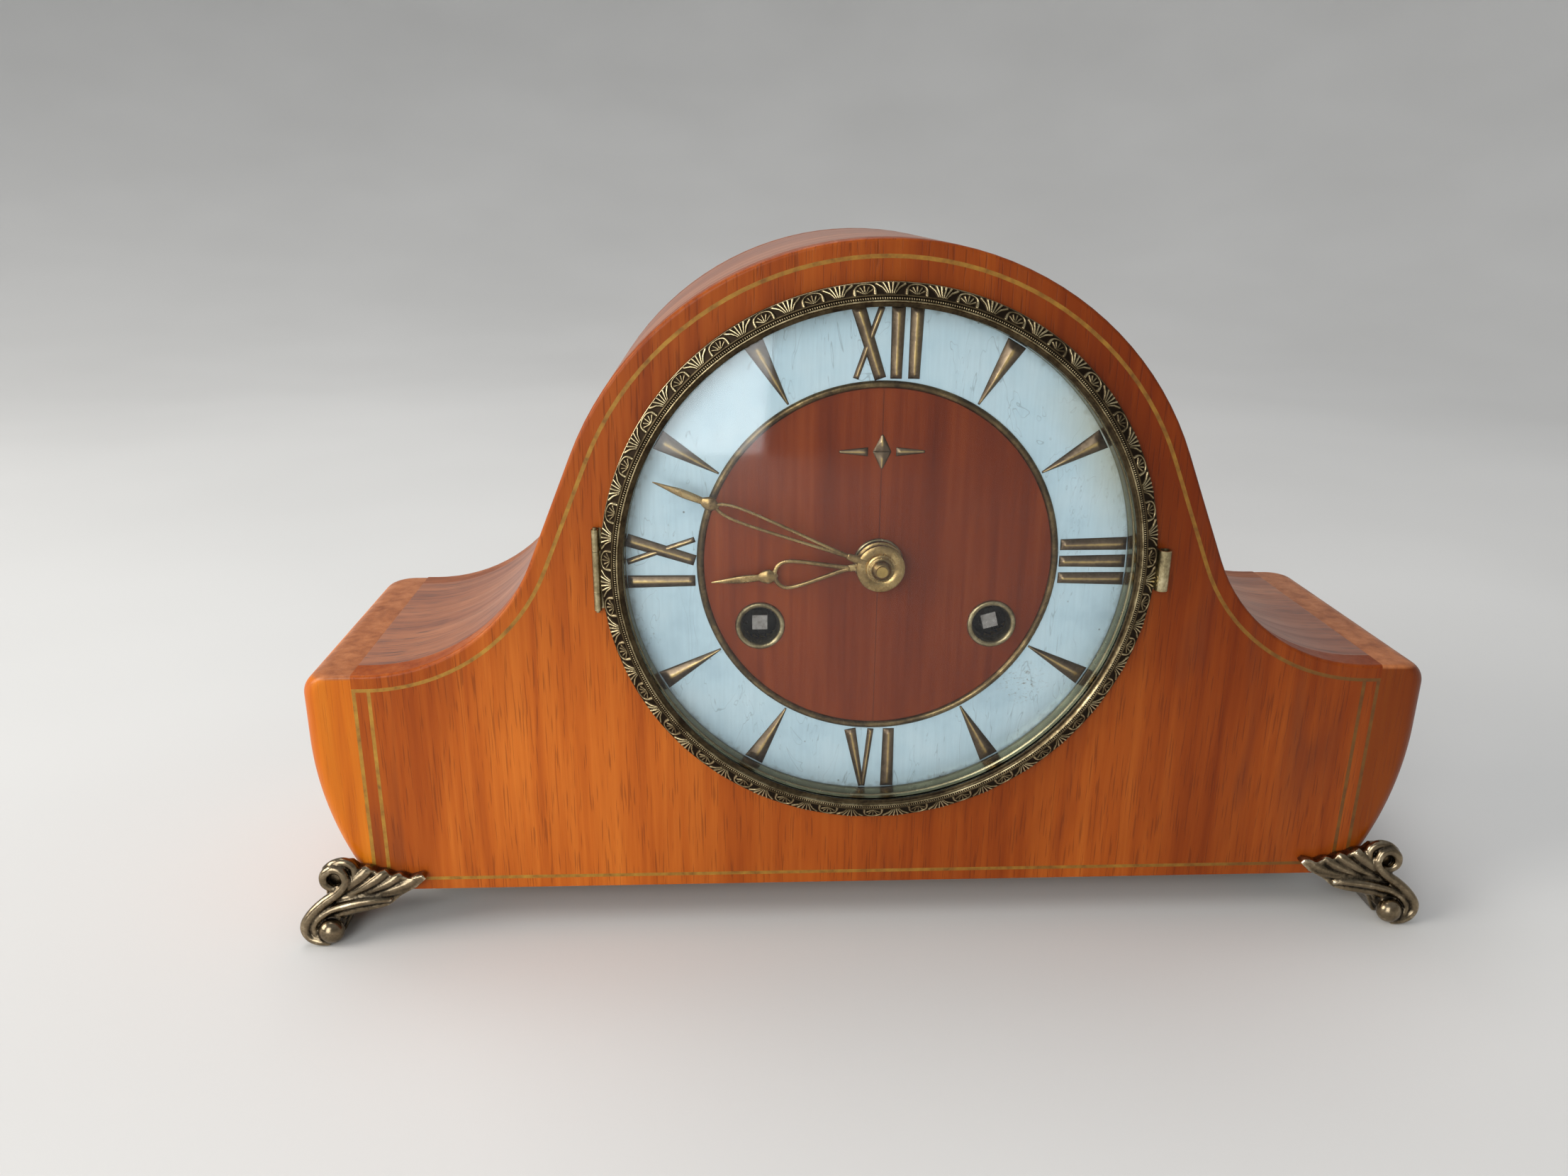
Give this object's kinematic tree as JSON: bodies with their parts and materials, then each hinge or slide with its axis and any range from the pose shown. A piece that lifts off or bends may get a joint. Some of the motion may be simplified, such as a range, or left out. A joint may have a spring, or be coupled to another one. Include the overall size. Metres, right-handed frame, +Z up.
{
  "type": "mantel clock",
  "caption": "Tambour mantel clock with an arched veneered case, hinged glazed bezel, striking movement with pendulum, and cast scroll feet.",
  "frame": {"origin": "on the table under the middle of the clock, centre of the bounding box bottom", "axes": "+X to the right seen from the front, +Y from front to back, +Z up; the dial faces -Y"},
  "size_m": [0.3328, 0.11, 0.1979],
  "materials": {
    "front_veneer": "glossy varnished mahogany veneer, upright grain",
    "stringing": "varnished pale inlay line",
    "top_veneer": "varnished mahogany, grain along the curve",
    "inner_wood": "plain sawn pine",
    "end_wood": "varnished solid amber wood",
    "dial_veneer": "varnished book-matched veneer",
    "antique_brass": "cast brass, darkened hollows and rubbed high spots",
    "sight_brass": "turned brass",
    "silvered": "satin silvered, scratched and specked",
    "numeral_bronze": "bevelled, dark bronze with brass edges",
    "hand_brass": "aged brass",
    "glass": "clear domed glass",
    "clock_brass": "rolled and turned clock brass",
    "steel": "turned and blued steel",
    "cast_iron": "black cast iron"
  },
  "bodies": {
    "case": {"back_door_hinge": "steel", "back_panel": "top_veneer", "back_plate": "clock_brass", "base_board": "inner_wood", "bezel_hinge": "antique_brass", "centre_ring": "antique_brass", "chapter_ring": "silvered", "dial_centre": "dial_veneer", "dial_eyelets": "antique_brass", "dial_numerals": "numeral_bronze", "dial_pan": "clock_brass", "end_cap_left": "end_wood", "end_cap_right": "end_wood", "foot_front_left": "antique_brass", "foot_front_right": "antique_brass", "foot_rear_left": "antique_brass", "foot_rear_right": "antique_brass", "front_panel": "front_veneer", "front_plate": "clock_brass", "gong_block": "cast_iron", "gong_rods": "steel", "pillar_nuts": "steel", "plate_pillars": "steel", "stringing": "stringing", "suspension_cock": "clock_brass", "top_shell": "top_veneer", "wood_screws": "steel"},
    "bezel": {"bezel_ring": "antique_brass", "glass": "glass", "sight_ring": "sight_brass", "bezel_knuckle": "antique_brass", "bezel_tab": "antique_brass"},
    "back_door": {"back_door": "clock_brass", "door_knob": "clock_brass"},
    "minute_hand": {"minute_hand": "hand_brass", "cannon_pinion": "clock_brass", "hand_nut": "hand_brass"},
    "minute_wheel": {"minute_wheel": "clock_brass"},
    "hour_hand": {"hour_hand": "hand_brass", "hour_wheel": "clock_brass"},
    "time_barrel": {"time_barrel": "clock_brass", "time_mainspring": "steel"},
    "strike_barrel": {"strike_barrel": "clock_brass", "strike_mainspring": "steel"},
    "pendulum": {"pendulum_rod": "steel", "pendulum_bob": "clock_brass", "rating_nut": "clock_brass"},
    "time_arbor": {"time_arbor": "steel"},
    "strike_arbor": {"strike_arbor": "steel"},
    "time_click": {"time_click": "steel"},
    "strike_click": {"strike_click": "steel"},
    "intermediate_wheel": {"intermediate_wheel": "clock_brass"},
    "centre_wheel": {"centre_wheel": "clock_brass"},
    "third_wheel": {"third_wheel": "clock_brass"},
    "escape_wheel": {"escape_wheel": "clock_brass"},
    "pallets": {"pallets": "steel"},
    "pin_wheel": {"pin_wheel": "clock_brass"},
    "warning_wheel": {"warning_wheel": "clock_brass"},
    "fly": {"fly": "clock_brass"},
    "hammer": {"hammer": "steel"}
  },
  "joints": [
    {"name": "bezel_swing", "type": "hinge", "parent": "case", "child": "bezel", "pos_m": [-0.07665, -0.0461, 0.1119], "axis": [0, 0, -1], "range_deg": [0, 110]},
    {"name": "back_door_swing", "type": "hinge", "parent": "case", "child": "back_door", "pos_m": [0.0676, 0.0464, 0.105], "axis": [0, 0, -1], "range_deg": [0, 100]},
    {"name": "hand_setting", "type": "hinge", "parent": "case", "child": "minute_hand", "pos_m": [0, 0, 0.1119], "axis": [0, 1, 0], "continuous": true},
    {"name": "minute_wheel_turn", "type": "hinge", "parent": "case", "child": "minute_wheel", "pos_m": [0, 0, 0.0999], "axis": [0, 1, 0], "continuous": true},
    {"name": "hour_hand_turn", "type": "hinge", "parent": "case", "child": "hour_hand", "pos_m": [0, 0, 0.1119], "axis": [0, 1, 0], "continuous": true},
    {"name": "third_wheel_turn", "type": "hinge", "parent": "case", "child": "third_wheel", "pos_m": [-0.00215, 0, 0.12945], "axis": [0, 1, 0], "continuous": true},
    {"name": "escape_wheel_turn", "type": "hinge", "parent": "case", "child": "escape_wheel", "pos_m": [0, 0, 0.1449], "axis": [0, 1, 0], "continuous": true},
    {"name": "centre_wheel_turn", "type": "hinge", "parent": "case", "child": "centre_wheel", "pos_m": [0, 0, 0.1119], "axis": [0, 1, 0], "continuous": true},
    {"name": "intermediate_wheel_turn", "type": "hinge", "parent": "case", "child": "intermediate_wheel", "pos_m": [0.01753, 0, 0.116], "axis": [0, 1, 0], "continuous": true},
    {"name": "time_barrel_turn", "type": "hinge", "parent": "case", "child": "time_barrel", "pos_m": [0.0326, 0, 0.0936], "axis": [0, 1, 0], "continuous": true},
    {"name": "time_winding", "type": "hinge", "parent": "case", "child": "time_arbor", "pos_m": [0.0326, 0, 0.0936], "axis": [0, 1, 0], "continuous": true},
    {"name": "warning_wheel_turn", "type": "hinge", "parent": "case", "child": "warning_wheel", "pos_m": [-0.03175, 0, 0.13606], "axis": [0, 1, 0], "continuous": true},
    {"name": "fly_turn", "type": "hinge", "parent": "case", "child": "fly", "pos_m": [-0.02995, 0, 0.14873], "axis": [0, 1, 0], "continuous": true},
    {"name": "pin_wheel_turn", "type": "hinge", "parent": "case", "child": "pin_wheel", "pos_m": [-0.03589, 0, 0.1204], "axis": [0, 1, 0], "continuous": true},
    {"name": "strike_barrel_turn", "type": "hinge", "parent": "case", "child": "strike_barrel", "pos_m": [-0.0326, 0, 0.0936], "axis": [0, 1, 0], "continuous": true},
    {"name": "strike_winding", "type": "hinge", "parent": "case", "child": "strike_arbor", "pos_m": [-0.0326, 0, 0.0936], "axis": [0, 1, 0], "continuous": true},
    {"name": "strike_click_lift", "type": "hinge", "parent": "case", "child": "strike_click", "pos_m": [-0.0222, 0, 0.102], "axis": [0, -1, 0], "range_deg": [0, 14], "stiffness_Nm_per_rad": 0.0008, "springref_deg": -5.73},
    {"name": "time_click_lift", "type": "hinge", "parent": "case", "child": "time_click", "pos_m": [0.0222, 0, 0.102], "axis": [0, 1, 0], "range_deg": [0, 14], "stiffness_Nm_per_rad": 0.0008, "springref_deg": -5.73},
    {"name": "pendulum_swing", "type": "hinge", "parent": "case", "child": "pendulum", "pos_m": [0, 0, 0.1579], "axis": [0, 1, 0], "range_deg": [-4, 4]},
    {"name": "pallet_rock", "type": "hinge", "parent": "case", "child": "pallets", "pos_m": [0, 0, 0.1579], "axis": [0, 1, 0], "range_deg": [-4, 4]},
    {"name": "hammer_lift", "type": "hinge", "parent": "case", "child": "hammer", "pos_m": [-0.028, 0, 0.0679], "axis": [0, 1, 0], "range_deg": [0, 14], "stiffness_Nm_per_rad": 0.004, "springref_deg": -17.19}
  ],
  "couplings": [
    {"joint": "minute_wheel_turn", "follows": "hand_setting", "ratio": -0.33333},
    {"joint": "hour_hand_turn", "follows": "hand_setting", "ratio": 0.083333},
    {"joint": "escape_wheel_turn", "follows": "third_wheel_turn", "ratio": -12},
    {"joint": "centre_wheel_turn", "follows": "third_wheel_turn", "ratio": -0.083333},
    {"joint": "intermediate_wheel_turn", "follows": "third_wheel_turn", "ratio": 0.016667},
    {"joint": "time_barrel_turn", "follows": "third_wheel_turn", "ratio": -0.0020833},
    {"joint": "fly_turn", "follows": "warning_wheel_turn", "ratio": -7},
    {"joint": "pin_wheel_turn", "follows": "warning_wheel_turn", "ratio": -0.125},
    {"joint": "strike_barrel_turn", "follows": "warning_wheel_turn", "ratio": 0.015625},
    {"joint": "pallet_rock", "follows": "pendulum_swing", "ratio": 1}
  ]
}
